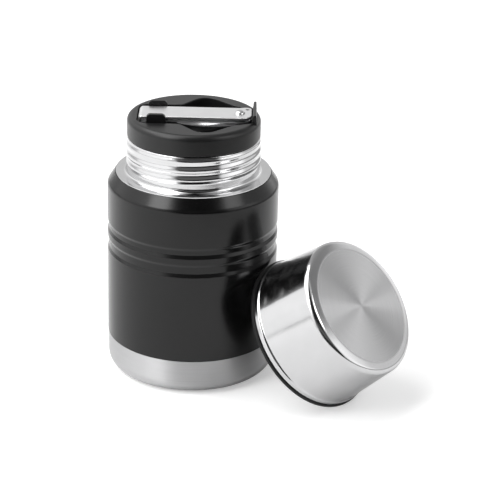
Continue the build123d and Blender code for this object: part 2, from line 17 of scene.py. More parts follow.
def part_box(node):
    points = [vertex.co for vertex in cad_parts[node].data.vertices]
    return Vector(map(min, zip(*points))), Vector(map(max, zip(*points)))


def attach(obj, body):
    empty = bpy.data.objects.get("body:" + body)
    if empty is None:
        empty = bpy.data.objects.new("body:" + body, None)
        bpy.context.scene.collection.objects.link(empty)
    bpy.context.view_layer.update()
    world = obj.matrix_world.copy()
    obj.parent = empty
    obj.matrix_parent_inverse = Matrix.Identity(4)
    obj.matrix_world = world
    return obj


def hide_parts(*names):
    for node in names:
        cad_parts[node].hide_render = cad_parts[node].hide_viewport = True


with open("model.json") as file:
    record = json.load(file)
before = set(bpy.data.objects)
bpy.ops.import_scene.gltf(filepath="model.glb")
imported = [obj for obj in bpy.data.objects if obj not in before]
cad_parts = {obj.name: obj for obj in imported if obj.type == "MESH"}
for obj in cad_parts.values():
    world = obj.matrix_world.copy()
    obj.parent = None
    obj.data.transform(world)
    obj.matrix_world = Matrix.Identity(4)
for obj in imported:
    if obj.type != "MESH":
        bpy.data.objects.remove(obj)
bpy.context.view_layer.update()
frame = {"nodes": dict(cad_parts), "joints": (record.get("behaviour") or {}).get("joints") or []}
NODES = frame["nodes"]

bl_info = {
    "name": "Insulated food jar",
    "version": (1, 0, 0),
    "blender": (4, 5, 0),
    "location": "3D View > Sidebar > Food Jar",
    "description": "Adds the surfaces and finishes of an insulated food jar over its CAD frame",
    "category": "Add Mesh",
}

MM = 0.001

# ---------------------------------------------------------------- values from the frame

BODY_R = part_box("outer_shell")[1].x / MM
BASE_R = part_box("base_cup")[1].x / MM
COAT_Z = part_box("base_cup")[1].z / MM
LEDGE_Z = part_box("outer_shell")[1].z / MM
LEDGE_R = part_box("neck_collar")[1].x / MM
LIP_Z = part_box("neck_collar")[1].z / MM

# ---------------------------------------------------------------- sizes that drawn pieces share

SHELL_SHEET = 0.6
SKIRT_R = 46.4  # outside of the shell's skirt, inside of the base cup
NECK_BORE, NECK_SHEET = 35.3, 0.5
BEAD_FOOT, BEAD_TOP = 1.9, 4.7  # heights of the cup's bead above its rim
AXIS = 1e-9  # a profile that starts nearer to the axis than this ends in poles, in metres

# ---------------------------------------------------------------- the camera (m, degrees, mm)

CAMERA_PLACE = (0.03236, -1.03819, 0.50756)
CAMERA_PITCH, CAMERA_ROLL = 22.931, 1.386
LENS, SENSOR = 144.25, 36.0


def node_points(node):
    """Corners of a CAD node's mesh as an array with a row for each."""
    mesh = NODES[node].data
    points = np.empty(len(mesh.vertices) * 3)
    mesh.vertices.foreach_get("co", points)
    return points.reshape(-1, 3)


def joint_axis(name):
    """Direction of a joint of the frame."""
    axis = next(joint["axis"] for joint in frame["joints"] if joint["name"] == name)
    return Vector(axis).normalized()


def cup_place():
    """Matrix from the cup's own axes (Z from its rim to its closed end) to the frame."""
    out = joint_axis("cup_lift")
    level = Vector((0, 0, 1)).cross(out).normalized()
    turn = Matrix((level, out.cross(level), out)).transposed()
    own = node_points("cup_liner") @ np.array(turn)
    low, high = own.min(0), own.max(0)
    rim = turn @ Vector(((low[0] + high[0]) / 2, (low[1] + high[1]) / 2, low[2]))
    return Matrix.Translation(rim) @ turn.to_4x4()


# ---------------------------------------------------------------- surfaces


def rounded(corners, steps=8, support=0.12):
    """Profile through corners given as (radius, height, corner radius), in millimetres.

    A corner's arc leaves and meets the two straight runs where they are tangent to it: at corner
    radius / tan(half the angle between the runs) from the corner. Each run also gets a point just
    beyond the arcs at its ends, so that shading stays flat between them.
    """
    points = np.array([corner[:2] for corner in corners], float)
    closed = points[0][0] > AXIS / MM
    nearly_half = 0.48
    profile = []
    for index, (x, y, radius) in enumerate(corners):
        here = np.array((x, y))
        if not closed and index in (0, len(corners) - 1):
            profile.append(here)
            continue
        before = points[index - 1] - here
        after = points[(index + 1) % len(points)] - here
        before_length, after_length = np.hypot(*before), np.hypot(*after)
        before, after = before / before_length, after / after_length
        half = np.arccos(np.clip(before @ after, -1, 1)) / 2
        run = radius / np.tan(half) if radius > 0 else 0.0
        if run + support < before_length * nearly_half:
            profile.append(here + before * (run + support))
        if radius > 0:
            middle = (before + after) / np.hypot(*(before + after)) * radius / np.sin(half)
            start, end = before * run - middle, after * run - middle
            sweep = np.arctan2(start[0] * end[1] - start[1] * end[0], start @ end)
            for turn in np.linspace(0, sweep, steps + 1):
                out = start[0] * cos(turn) - start[1] * sin(turn)
                up = start[0] * sin(turn) + start[1] * cos(turn)
                profile.append(here + middle + (out, up))
        else:
            profile.append(here)
        if run + support < after_length * nearly_half:
            profile.append(here + after * (run + support))
    return np.array(profile) * MM


def divided(profile, step):
    """The profile with its long runs divided into equal steps no longer than the given one, in mm."""
    closed = profile[0][0] > AXIS
    ends = np.roll(profile, -1, axis=0) if closed else profile[1:]
    starts = profile if closed else profile[:-1]
    pieces = []
    for start, end in zip(starts, ends):
        count = max(1, int(np.ceil(np.hypot(*(end - start)) / (step * MM))))
        pieces.append(start + (end - start) * np.arange(count)[:, None] / count)
    if not closed:
        pieces.append(profile[-1:])
    return np.concatenate(pieces)


def fill_mesh(mesh, points, faces, coordinates):
    """Puts points, a list of face index arrays and matching UV arrays into an empty mesh."""
    mesh.vertices.add(len(points))
    mesh.vertices.foreach_set("co", points.ravel())
    corners = np.concatenate([face.ravel() for face in faces])
    sizes = np.concatenate([np.full(len(face), face.shape[1]) for face in faces])
    mesh.loops.add(len(corners))
    mesh.loops.foreach_set("vertex_index", corners)
    mesh.polygons.add(len(sizes))
    mesh.polygons.foreach_set("loop_start", np.concatenate([[0], np.cumsum(sizes)[:-1]]))
    mesh.polygons.foreach_set("loop_total", sizes)
    mesh.update(calc_edges=True)
    layer = mesh.uv_layers.new(name="UVMap")
    layer.data.foreach_set("uv", np.concatenate([uv.reshape(-1, 2) for uv in coordinates]).ravel())
    mesh.validate()


def turned(name, profile, segments=256, lift=None, place=None, sharp=35):
    """Turns a profile of (radius, height) rows about Z into a closed surface.

    A point of the surface at angle a and profile row i is (r cos a, r sin a, z), where lift, if it
    is given, changes r: r = lift(r, z, a). A profile that starts and ends on the axis has a pole at
    each end, and any other profile is closed on itself. U runs round the axis, V along the profile.
    """
    poled = profile[0][0] < AXIS
    first = 1 if poled else 0
    following = np.roll(profile, -1, axis=0)
    if (profile[:, 0] * following[:, 1] - following[:, 0] * profile[:, 1]).sum() < 0:
        profile = profile[::-1]
    lengths = np.concatenate([[0], np.cumsum(np.hypot(*np.diff(profile, axis=0).T))])
    rings = profile[1:-1] if poled else profile
    angles = np.arange(segments) / segments * tau
    radius = np.broadcast_to(rings[:, :1], (len(rings), segments))
    height = np.broadcast_to(rings[:, 1:], radius.shape)
    if lift:
        radius = lift(radius, height, angles[None, :])
    points = np.stack([radius * np.cos(angles), radius * np.sin(angles), height], axis=2)
    points = points.reshape(-1, 3)

    row = np.arange(len(rings) - first)[:, None]
    column = np.arange(segments)[None, :]
    above, beside = (row + 1) % len(rings), (column + 1) % segments
    quads = np.stack(
        [
            row * segments + column,
            row * segments + beside,
            above * segments + beside,
            above * segments + column,
        ],
        axis=2,
    ).reshape(-1, 4)
    stops = np.append(lengths, lengths[-1] + np.hypot(*(profile[0] - profile[-1])))
    u_low = np.broadcast_to(column / segments, (len(row), segments))
    u_high = np.broadcast_to((column + 1) / segments, u_low.shape)
    v_low = np.broadcast_to(stops[row + first], u_low.shape)
    v_high = np.broadcast_to(stops[row + first + 1], u_low.shape)
    quad_corners = ((u_low, v_low), (u_high, v_low), (u_high, v_high), (u_low, v_high))
    faces = [quads]
    coordinates = [np.stack([np.stack(corner, -1) for corner in quad_corners], axis=2)]
    if poled:
        ends = np.array([[0, 0, profile[0][1]], [0, 0, profile[-1][1]]])
        points = np.concatenate([points, ends])
        low_pole, high_pole = len(points) - 2, len(points) - 1
        ring, after = np.arange(segments), (np.arange(segments) + 1) % segments
        last = (len(rings) - 1) * segments
        faces.append(np.stack([after, ring, np.full(segments, low_pole)], axis=1))
        faces.append(np.stack([last + ring, last + after, np.full(segments, high_pole)], axis=1))
        u, step = ring / segments, 1 / segments
        low_fan = ((u + step, stops[1]), (u, stops[1]), (u + step / 2, stops[0]))
        high_fan = ((u, stops[-3]), (u + step, stops[-3]), (u + step / 2, stops[-2]))
        for fan in (low_fan, high_fan):
            corners = [np.stack([across, np.full(segments, along)], -1) for across, along in fan]
            coordinates.append(np.stack(corners, axis=1))
    if place is not None:
        points = points @ np.array(place.to_3x3()).T + np.array(place.translation)
    mesh = bpy.data.meshes.new(name)
    fill_mesh(mesh, points, faces, coordinates)
    mesh.shade_smooth()
    mesh.set_sharp_from_angle(angle=radians(sharp))
    piece = bpy.data.objects.new(name, mesh)
    bpy.context.scene.collection.objects.link(piece)
    return piece


def finish_piece(piece, body, slot, *nodes):
    """The piece rides on a body and stands for CAD nodes, which are hidden. Its slot argument is not used."""
    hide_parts(*nodes)
    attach(piece, body)


def dress(piece, *materials):
    """Gives a piece its materials, in the order of its material slots."""
    piece.data.materials.clear()
    for material in materials:
        piece.data.materials.append(material)


# ---------------------------------------------------------------- finishes


def nodes_of(name):
    """A new node material and its node tree, with the Principled shader in it."""
    material = bpy.data.materials.new(name)
    material.use_nodes = True
    tree = material.node_tree
    return material, tree, tree.nodes["Principled BSDF"]


def link(tree, source, output, target, socket):
    """Links one node's output to another's input."""
    tree.links.new(source.outputs[output], target.inputs[socket])


def noise(tree, scale, detail=2.0, vector=None):
    """Noise texture on Object coordinates, or on the given vector node's output."""
    texture = tree.nodes.new("ShaderNodeTexNoise")
    texture.inputs["Scale"].default_value = scale
    texture.inputs["Detail"].default_value = detail
    if vector is None:
        vector = tree.nodes.new("ShaderNodeTexCoord").outputs["Object"]
    tree.links.new(vector, texture.inputs["Vector"])
    return texture


def ramp(tree, source, output, low, high, start=0.3, stop=0.7):
    """Maps a texture's value to a colour between two greys."""
    node = tree.nodes.new("ShaderNodeValToRGB")
    node.color_ramp.elements[0].position = start
    node.color_ramp.elements[1].position = stop
    node.color_ramp.elements[0].color = (*low, 1)
    node.color_ramp.elements[1].color = (*high, 1)
    link(tree, source, output, node, "Fac")
    return node


def spread(tree, source, output, low, high):
    """Maps a texture's value from 0..1 to low..high."""
    node = tree.nodes.new("ShaderNodeMapRange")
    node.inputs["To Min"].default_value = low
    node.inputs["To Max"].default_value = high
    link(tree, source, output, node, "Value")
    return node


def bump(tree, shader, source, output, strength, depth):
    """Raises the surface by a texture, depth millimetres high."""
    node = tree.nodes.new("ShaderNodeBump")
    node.inputs["Strength"].default_value = strength
    node.inputs["Distance"].default_value = depth * MM
    link(tree, source, output, node, "Height")
    link(tree, node, "Normal", shader, "Normal")


def coating(name, colour):
    """Satin powder coating: fine orange peel, and a slight mottle in colour and gloss."""
    material, tree, shader = nodes_of(name)
    mottle = noise(tree, scale=60, detail=3)
    dark, light = [0.85 * c for c in colour], [1.15 * c for c in colour]
    link(tree, ramp(tree, mottle, "Fac", dark, light), "Color", shader, "Base Color")
    gloss = spread(tree, mottle, "Fac", low=0.19, high=0.23)
    link(tree, gloss, "Result", shader, "Roughness")
    bump(tree, shader, noise(tree, scale=2500), "Fac", strength=0.06, depth=0.03)
    shader.inputs["Specular IOR Level"].default_value = 0.33
    return material


def brushed(name, colour, roughness, anisotropy=0.93):
    """Brushed steel: lines that run round the axis, along U, drawn by noise that is stretched."""
    material, tree, shader = nodes_of(name)
    uv = tree.nodes.new("ShaderNodeTexCoord")
    mapping = tree.nodes.new("ShaderNodeMapping")
    along, across = 6, 9000
    mapping.inputs["Scale"].default_value = (along, across, 1)
    link(tree, uv, "UV", mapping, "Vector")
    lines = noise(tree, scale=1.0, detail=3, vector=mapping.outputs["Vector"])
    dark, light = [0.9 * c for c in colour], [min(1, 1.08 * c) for c in colour]
    link(tree, ramp(tree, lines, "Fac", dark, light), "Color", shader, "Base Color")
    gloss = spread(tree, lines, "Fac", low=roughness * 0.8, high=roughness * 1.2)
    link(tree, gloss, "Result", shader, "Roughness")
    bump(tree, shader, lines, "Fac", strength=0.12, depth=0.02)
    shader.inputs["Metallic"].default_value = 1.0
    shader.inputs["Anisotropic"].default_value = anisotropy
    quarter_turn = 0.25
    shader.inputs["Anisotropic Rotation"].default_value = quarter_turn
    tangent = tree.nodes.new("ShaderNodeTangent")
    tangent.direction_type = "UV_MAP"
    tangent.uv_map = "UVMap"
    link(tree, tangent, "Tangent", shader, "Tangent")
    return material


def polished(name, colour, roughness, ripple=0.02):
    """Polished steel: faint polishing marks in its gloss and a very slight ripple."""
    material, tree, shader = nodes_of(name)
    marks = noise(tree, scale=90, detail=4)
    dark, light = [0.96 * c for c in colour], [min(1, 1.02 * c) for c in colour]
    link(tree, ramp(tree, marks, "Fac", dark, light), "Color", shader, "Base Color")
    gloss = spread(tree, marks, "Fac", low=roughness * 0.7, high=roughness * 1.4)
    link(tree, gloss, "Result", shader, "Roughness")
    bump(tree, shader, noise(tree, scale=45), "Fac", strength=ripple, depth=0.4)
    shader.inputs["Metallic"].default_value = 1.0
    return material


def moulded(name, colour, roughness, grain=1800, height=0.05, specular=0.5):
    """Moulded plastic or rubber: a fine spark-eroded grain."""
    material, tree, shader = nodes_of(name)
    grains = noise(tree, scale=grain)
    dark, light = [0.9 * c for c in colour], [1.1 * c for c in colour]
    tone = ramp(tree, noise(tree, scale=120), "Fac", dark, light)
    link(tree, tone, "Color", shader, "Base Color")
    gloss = spread(tree, grains, "Fac", low=roughness * 0.88, high=roughness * 1.12)
    link(tree, gloss, "Result", shader, "Roughness")
    bump(tree, shader, grains, "Fac", strength=height, depth=0.03)
    shader.inputs["Specular IOR Level"].default_value = specular
    return material


def crinkled(name, colour):
    """Bright foil with soft creases."""
    material, tree, shader = nodes_of(name)
    creases = tree.nodes.new("ShaderNodeTexVoronoi")
    creases.inputs["Scale"].default_value = 180
    link(tree, tree.nodes.new("ShaderNodeTexCoord"), "Object", creases, "Vector")
    tone = ramp(tree, creases, "Distance", [0.8 * c for c in colour], colour)
    link(tree, tone, "Color", shader, "Base Color")
    bump(tree, shader, creases, "Distance", strength=0.4, depth=0.3)
    shader.inputs["Metallic"].default_value = 1.0
    shader.inputs["Roughness"].default_value = 0.22
    return material


# ---------------------------------------------------------------- sizes and colours a user can set


def length_setting(name, description, millimetres):
    """A length that the panel can change."""
    return FloatProperty(
        name=name, description=description, default=millimetres * MM, subtype="DISTANCE", unit="LENGTH",
        precision=5,
    )


def colour_setting(name, description, colour):
    """A colour in linear light that the panel can change."""
    return FloatVectorProperty(
        name=name, description=description, default=colour, subtype="COLOR", size=3, min=0, max=1,
    )


class JarSizes(bpy.types.PropertyGroup):
    """Sizes of the vacuum jar's drawn surfaces."""

    groove_depth: length_setting("Groove depth", "Depth of the rolled grooves", 0.75)
    thread_pitch: length_setting("Thread pitch", "Rise of the neck's thread in one turn", 5.3)
    thread_depth: length_setting("Thread depth", "Height of the neck's rolled thread", 0.68)
    segments: IntProperty(
        name="Segments", description="Faces round each turned piece", default=256, min=32, max=720,
    )


class Finishes(bpy.types.PropertyGroup):
    """Colours of the finishes, in linear light."""

    coating: colour_setting("Coating", "Powder coating of the body", (0.003, 0.003, 0.0031))
    steel: colour_setting("Steel", "Bare steel", (0.52, 0.52, 0.525))
    # Painted light: the neck's steel is set lighter than the other bare steel, so that its thread crests
    # reflect brighter.
    neck: colour_setting("Neck", "Electropolished steel of the neck", (0.57, 0.57, 0.575))
    # Painted shade: the base cup's steel is set darker than the other bare steel, so that its band reflects
    # less light.
    base: colour_setting("Base", "Brushed steel of the base cup", (0.45, 0.45, 0.455))
    # Painted light: the spoon's steel is set far lighter than bare steel, so that the handle's flat top
    # reflects brighter.
    spoon: colour_setting("Spoon", "Satin steel of the spoon", (0.86, 0.86, 0.865))
    plastic: colour_setting("Plastic", "Moulded black plastic", (0.006, 0.006, 0.0062))


def finishes():
    """The colours of this scene."""
    return bpy.context.scene.jar_finishes


def material_named(name, make, colour, **settings):
    """The finish of that name, made the first time it is asked for.

    Its material is called after it with a prefix, because the frame's own plain materials already
    carry the names of the slots.
    """
    own_name = "finish_" + name
    return bpy.data.materials.get(own_name) or make(own_name, colour, **settings)


def coated():
    """Finish of the coated wall."""
    return material_named("black_coating", coating, finishes().coating)


def mirror_steel():
    """Finish of the cup's wall, the getter's clip and the base plate."""
    return material_named("polished_steel", polished, finishes().steel, roughness=0.13)


def turned_steel():
    """Finish of the vessel and of the cup's flat end."""
    return material_named("brushed_steel", brushed, finishes().steel, roughness=0.38)


def black_plastic():
    """Finish of the stopper's cap, plug and cover."""
    return material_named("black_plastic", moulded, finishes().plastic, roughness=0.36, specular=0.36)


def liner_plastic():
    """Finish of the cup's ring."""
    return material_named("liner_plastic", moulded, finishes().plastic, roughness=0.42, specular=0.2)


# ---------------------------------------------------------------- the jar


class OBJECT_OT_jar_shell(bpy.types.Operator):
    """Coated outer wall, with its rolled grooves and its rounded shoulder"""

    bl_idname = "object.jar_shell"
    bl_label = "Outer shell"
    bl_options = {"REGISTER", "UNDO"}

    def execute(self, context):
        sizes = context.scene.jar_sizes
        depth, sheet, skirt = sizes.groove_depth / MM, SHELL_SHEET, SKIRT_R
        grooves = ((70.9, 78.4), (81.8, 88.0))
        low_flank, high_flank = 1.9, 1.6
        shoulder, skirt_foot = 109.2, 9.8

        def grooved(radius):
            """Corners of the grooves in a wall of that radius, from below."""
            corners = []
            for low, high in grooves:
                corners += [
                    (radius, low, 0.5),
                    (radius - depth, low + low_flank, 1.0),
                    (radius - depth, high - high_flank, 2.0),
                    (radius, high, 2.0),
                ]
            return corners

        profile = rounded(
            [
                (BODY_R, COAT_Z, 0.3),
                *grooved(BODY_R),
                (BODY_R, shoulder, 4.0),
                (LEDGE_R, LEDGE_Z, 0.25),
                (LEDGE_R, LEDGE_Z - 1.2 * sheet, 0),
                (BODY_R - sheet, shoulder - sheet, 3.4),
                *reversed(grooved(BODY_R - sheet)),
                (BODY_R - sheet, COAT_Z + sheet, 0.3),
                (skirt - sheet, COAT_Z + sheet, 0.3),
                (skirt - sheet, skirt_foot, 0),
                (skirt, skirt_foot, 0),
                (skirt, COAT_Z, 0),
            ]
        )
        shell = turned("coated_shell", divided(profile, 6), sizes.segments)
        dress(shell, coated())
        finish_piece(shell, "jar", "black_coating", "outer_shell")
        return {"FINISHED"}


class OBJECT_OT_jar_neck(bpy.types.Operator):
    """Bare polished ledge and neck, with the rolled thread"""

    bl_idname = "object.jar_neck"
    bl_label = "Threaded neck"
    bl_options = {"REGISTER", "UNDO"}

    def execute(self, context):
        sizes = context.scene.jar_sizes
        root, lip, bore, sheet = 36.8, 36.5, NECK_BORE, NECK_SHEET
        profile = rounded(
            [
                (LEDGE_R, LEDGE_Z - SHELL_SHEET, 0),
                (LEDGE_R, LEDGE_Z, 0),
                (root, LEDGE_Z, 1.8),
                (lip, LIP_Z, 0.6),
                (bore, LIP_Z, 0.3),
                (bore, LIP_Z - 2 * sheet, 0),
                (lip - sheet, LIP_Z - 2 * sheet, 0),
                (root - sheet, LEDGE_Z - SHELL_SHEET, 1.3),
            ]
        )
        profile = divided(profile, 0.3)
        pitch, depth = sizes.thread_pitch, sizes.thread_depth
        turns, start_turn, run_in_turns = 3, 0.42, 0.15
        start, crest_top = 121.5 * MM, 132.5 * MM
        loss_at_lip, least_share = 0.6, 0.4
        plain_lip, lip_fade = 0.7 * MM, 0.9 * MM
        plain_root, root_fade = 1.6, 0.8 * MM

        def thread(radius, height, angle):
            """r + depth x ridge: a raised cosine across the pitch, on a helix that rises a pitch a turn.

            The ridge grows over the start of its first turn, gets lower above its highest full crest
            and is blended out below the lip and above the ledge. Only the outside is raised.
            """
            along = (angle / tau - start_turn) % 1.0
            raised = np.zeros(np.broadcast_shapes(radius.shape, angle.shape))
            for turn in range(turns):
                across = (height - start) / pitch - along - turn
                ridge = np.cos(np.clip(across, -0.5, 0.5) * pi) ** 2
                run_in = np.clip((along + turn) / run_in_turns, 0, 1)
                raised = np.maximum(raised, ridge * run_in)
            loss = loss_at_lip * (height - crest_top) / (LIP_Z * MM - crest_top)
            fade = np.clip(1 - loss, least_share, 1)
            lip_blend = np.clip((LIP_Z * MM - plain_lip - height) / lip_fade, 0, 1)
            outside = radius > (lip - 0.3) * MM
            above_root = np.clip((height - (LEDGE_Z + plain_root) * MM) / root_fade, 0, 1)
            return radius + depth * raised * fade * lip_blend * outside * above_root

        neck = turned("threaded_neck", profile, sizes.segments, lift=thread)
        # The neck's lightened steel is painted light, for brighter reflections on its thread.
        dress(neck, material_named("neck_steel_painted_light", polished, finishes().neck, roughness=0.1))
        finish_piece(neck, "jar", "polished_steel", "neck_collar")
        return {"FINISHED"}


class OBJECT_OT_jar_base(bpy.types.Operator):
    """Brushed base cup with its rounded edge"""

    bl_idname = "object.jar_base"
    bl_label = "Base cup"
    bl_options = {"REGISTER", "UNDO"}

    def execute(self, context):
        ring_in, ring_out, ring_depth, sheet = 25.0, 28.0, 0.4, 0.8
        profile = rounded(
            [
                (0, 0, 0),
                (ring_in, 0, 0.3),
                (ring_in + ring_depth, ring_depth, 0.3),
                (ring_out - ring_depth, ring_depth, 0.3),
                (ring_out, 0, 0.3),
                (BASE_R, 0, 8.0),
                (BASE_R, COAT_Z, 0.2),
                (SKIRT_R, COAT_Z, 0),
                (SKIRT_R, sheet, 7.2),
                (0, sheet, 0),
            ],
            steps=14,
        )
        base = turned("brushed_base", divided(profile, 4), context.scene.jar_sizes.segments)
        # The base cup's darkened steel is painted shade, to make its band reflect less light.
        dress(base, material_named("base_steel_painted_shade", brushed, finishes().base, roughness=0.38))
        finish_piece(base, "jar", "brushed_steel", "base_cup")
        return {"FINISHED"}


class OBJECT_OT_jar_vessel(bpy.types.Operator):
    """Inner vessel that the food stands in"""

    bl_idname = "object.jar_vessel"
    bl_label = "Inner vessel"
    bl_options = {"REGISTER", "UNDO"}

    def execute(self, context):
        outside, bore, sheet = 42.0, NECK_BORE, NECK_SHEET
        floor, shoulder, inner_shoulder, throat, top = 14.0, 103.0, 102.7, 113.0, LIP_Z - 1
        profile = rounded(
            [
                (0, floor, 0),
                (outside, floor, 12.0),
                (outside, shoulder, 8.0),
                (bore + sheet, throat, 4.0),
                (bore + sheet, top, 0),
                (bore, top, 0),
                (bore, throat, 4.5),
                (outside - sheet, inner_shoulder, 7.5),
                (outside - sheet, floor + sheet, 11.5),
                (0, floor + sheet, 0),
            ],
            steps=12,
        )
        vessel = turned("vessel_liner", divided(profile, 8), context.scene.jar_sizes.segments)
        dress(vessel, turned_steel())
        finish_piece(vessel, "jar", "polished_steel", "inner_vessel", "vessel_bottom", "vessel_neck")
        return {"FINISHED"}


class OBJECT_OT_jar_inside(bpy.types.Operator):
    """Finishes of the pieces between the jar's walls"""

    bl_idname = "object.jar_inside"
    bl_label = "Inner pieces"
    bl_options = {"REGISTER", "UNDO"}

    def execute(self, context):
        foil = material_named("foil", crinkled, (0.8, 0.8, 0.8))
        getter = material_named(
            "getter_metal", moulded, (0.12, 0.12, 0.12), roughness=0.8, grain=900, height=0.5
        )
        resin = material_named(
            "seal_resin", moulded, (0.14, 0.1, 0.06), roughness=0.25, grain=500, height=0.1
        )
        dress(NODES["radiation_foil"], foil)
        dress(NODES["getter"], getter)
        dress(NODES["getter_clip"], mirror_steel())
        dress(NODES["base_plate"], mirror_steel())
        dress(NODES["seal_bead"], resin)
        return {"FINISHED"}


# ---------------------------------------------------------------- the stopper


class OBJECT_OT_jar_stopper(bpy.types.Operator):
    """Stopper's cap, plug, gasket, foam and cover"""

    bl_idname = "object.jar_stopper"
    bl_label = "Stopper"
    bl_options = {"REGISTER", "UNDO"}

    def execute(self, context):
        foam = material_named("foam", moulded, (0.75, 0.75, 0.72), roughness=0.9, grain=700, height=0.8)
        rubber = material_named(
            "seal_rubber", moulded, (0.3, 0.3, 0.3), roughness=0.45, grain=900, height=0.1
        )
        for node in ("stopper_cap", "stopper_plug", "plug_cover"):
            dress(NODES[node], black_plastic())
        dress(NODES["plug_foam"], foam)
        dress(NODES["stopper_gasket"], rubber)
        return {"FINISHED"}


class OBJECT_OT_jar_spoon(bpy.types.Operator):
    """Folding spoon in the stopper's pocket"""

    bl_idname = "object.jar_spoon"
    bl_label = "Folding spoon"
    bl_options = {"REGISTER", "UNDO"}

    def execute(self, context):
        # The handle, collar and washer take the spoon's lightened steel, a painted light on their
        # reflections.
        steel = material_named("spoon_steel", polished, finishes().spoon, roughness=0.32)
        # Painted shade: the bowl takes plain steel, darker than its handle's, for the dark pocket it lies in.
        bowl = material_named("bowl_steel_painted_shade", polished, finishes().steel, roughness=0.24)
        # The rivet takes the neck's lightened steel, darker than the handle's, as painted shade that tones
        # down its highlight.
        rivet = material_named("rivet_steel", polished, finishes().neck, roughness=0.34)
        for node in ("spoon_handle", "rivet_collar", "spoon_washer"):
            dress(NODES[node], steel)
        dress(NODES["spoon_bowl"], bowl)
        dress(NODES["spoon_rivet"], rivet)
        return {"FINISHED"}


# ---------------------------------------------------------------- the cup lid


class OBJECT_OT_jar_cup(bpy.types.Operator):
    """Steel cup lid: a polished wall with a rolled bead, and a brushed end"""

    bl_idname = "object.jar_cup"
    bl_label = "Cup lid"
    bl_options = {"REGISTER", "UNDO"}

    def execute(self, context):
        height, sheet, end, wall, bead = 41.3, 0.6, 38.7, 42.1, 42.8
        wall_foot, flat_end, drop = 5.5, 33.0, 1.18
        shoulder = end + drop * (wall - end) / (height - wall_foot)
        profile = rounded(
            [
                (0, height, 0),
                (flat_end, height, 8.0),
                (shoulder, height - drop, 3.7),
                (wall, wall_foot, 1.0),
                (bead, BEAD_TOP, 0.6),
                (bead, BEAD_FOOT, 0.4),
                (bead - sheet, BEAD_FOOT, 0),
                (bead - sheet, BEAD_TOP, 0.4),
                (wall - sheet, wall_foot, 0.8),
                (shoulder - sheet, height - drop - sheet, 3.1),
                (flat_end, height - sheet, 7.4),
                (0, height - sheet, 0),
            ],
            steps=12,
        )
        place, segments = cup_place(), context.scene.jar_sizes.segments
        cup = turned("cup_wall", divided(profile, 4), segments, place=place)
        dress(cup, mirror_steel(), turned_steel())
        own = place.inverted()
        flat, brushed_r = (height - 0.3 * sheet) * MM, (flat_end - 0.6) * MM
        for face in cup.data.polygons:
            centre = own @ face.center
            if centre.z > flat and hypot(centre.x, centre.y) < brushed_r:
                face.material_index = 1
        finish_piece(cup, "cup", "polished_steel", "cup_shell")
        return {"FINISHED"}


class OBJECT_OT_jar_liner(bpy.types.Operator):
    """Black ring at the cup's rim, with the thread in its bore"""

    bl_idname = "object.jar_liner"
    bl_label = "Cup liner"
    bl_options = {"REGISTER", "UNDO"}

    def execute(self, context):
        sizes = context.scene.jar_sizes
        bore, ring, skirt, taper, height = 38.5, 43.6, 41.3, 0.85, 14.0
        profile = rounded(
            [
                (bore, 0, 0.4),
                (ring, 0, 0.5),
                (ring, BEAD_FOOT, 0.5),
                (skirt, BEAD_FOOT, 0),
                (skirt, BEAD_TOP, 0),
                (skirt - taper, height, 0.4),
                (bore, height, 0.3),
            ]
        )
        pitch = sizes.thread_pitch
        turns, start, half_width, ridge = 2, 2.5 * MM, 0.3 * pitch, 0.6 * MM

        def thread(radius, level, angle):
            """r - ridge: a rounded ridge inside the bore that follows the neck's helix."""
            inward = np.zeros(np.broadcast_shapes(radius.shape, angle.shape))
            for turn in range(turns):
                across = (level - start - pitch * ((angle % tau) / tau + turn)) / half_width
                inward = np.maximum(inward, np.cos(np.clip(across, -1, 1) * pi / 2) ** 2)
            return radius - ridge * inward * (radius < (bore + 0.2) * MM)

        profile = divided(profile, 0.5)
        liner = turned("cup_ring", profile, sizes.segments, lift=thread, place=cup_place())
        dress(liner, liner_plastic())
        finish_piece(liner, "cup", "liner_plastic", "cup_liner")
        return {"FINISHED"}


# ---------------------------------------------------------------- the studio


def area_light(name, place, aim, width, depth, power):
    """A softbox at a place in metres, turned to a point."""
    light = bpy.data.lights.new(name, "AREA")
    light.shape = "RECTANGLE"
    light.size, light.size_y = width, depth
    light.energy = power
    lamp = bpy.data.objects.new(name, light)
    lamp.location = place
    lamp.rotation_euler = (Vector(aim) - Vector(place)).to_track_quat("-Z", "Y").to_euler()
    bpy.context.scene.collection.objects.link(lamp)


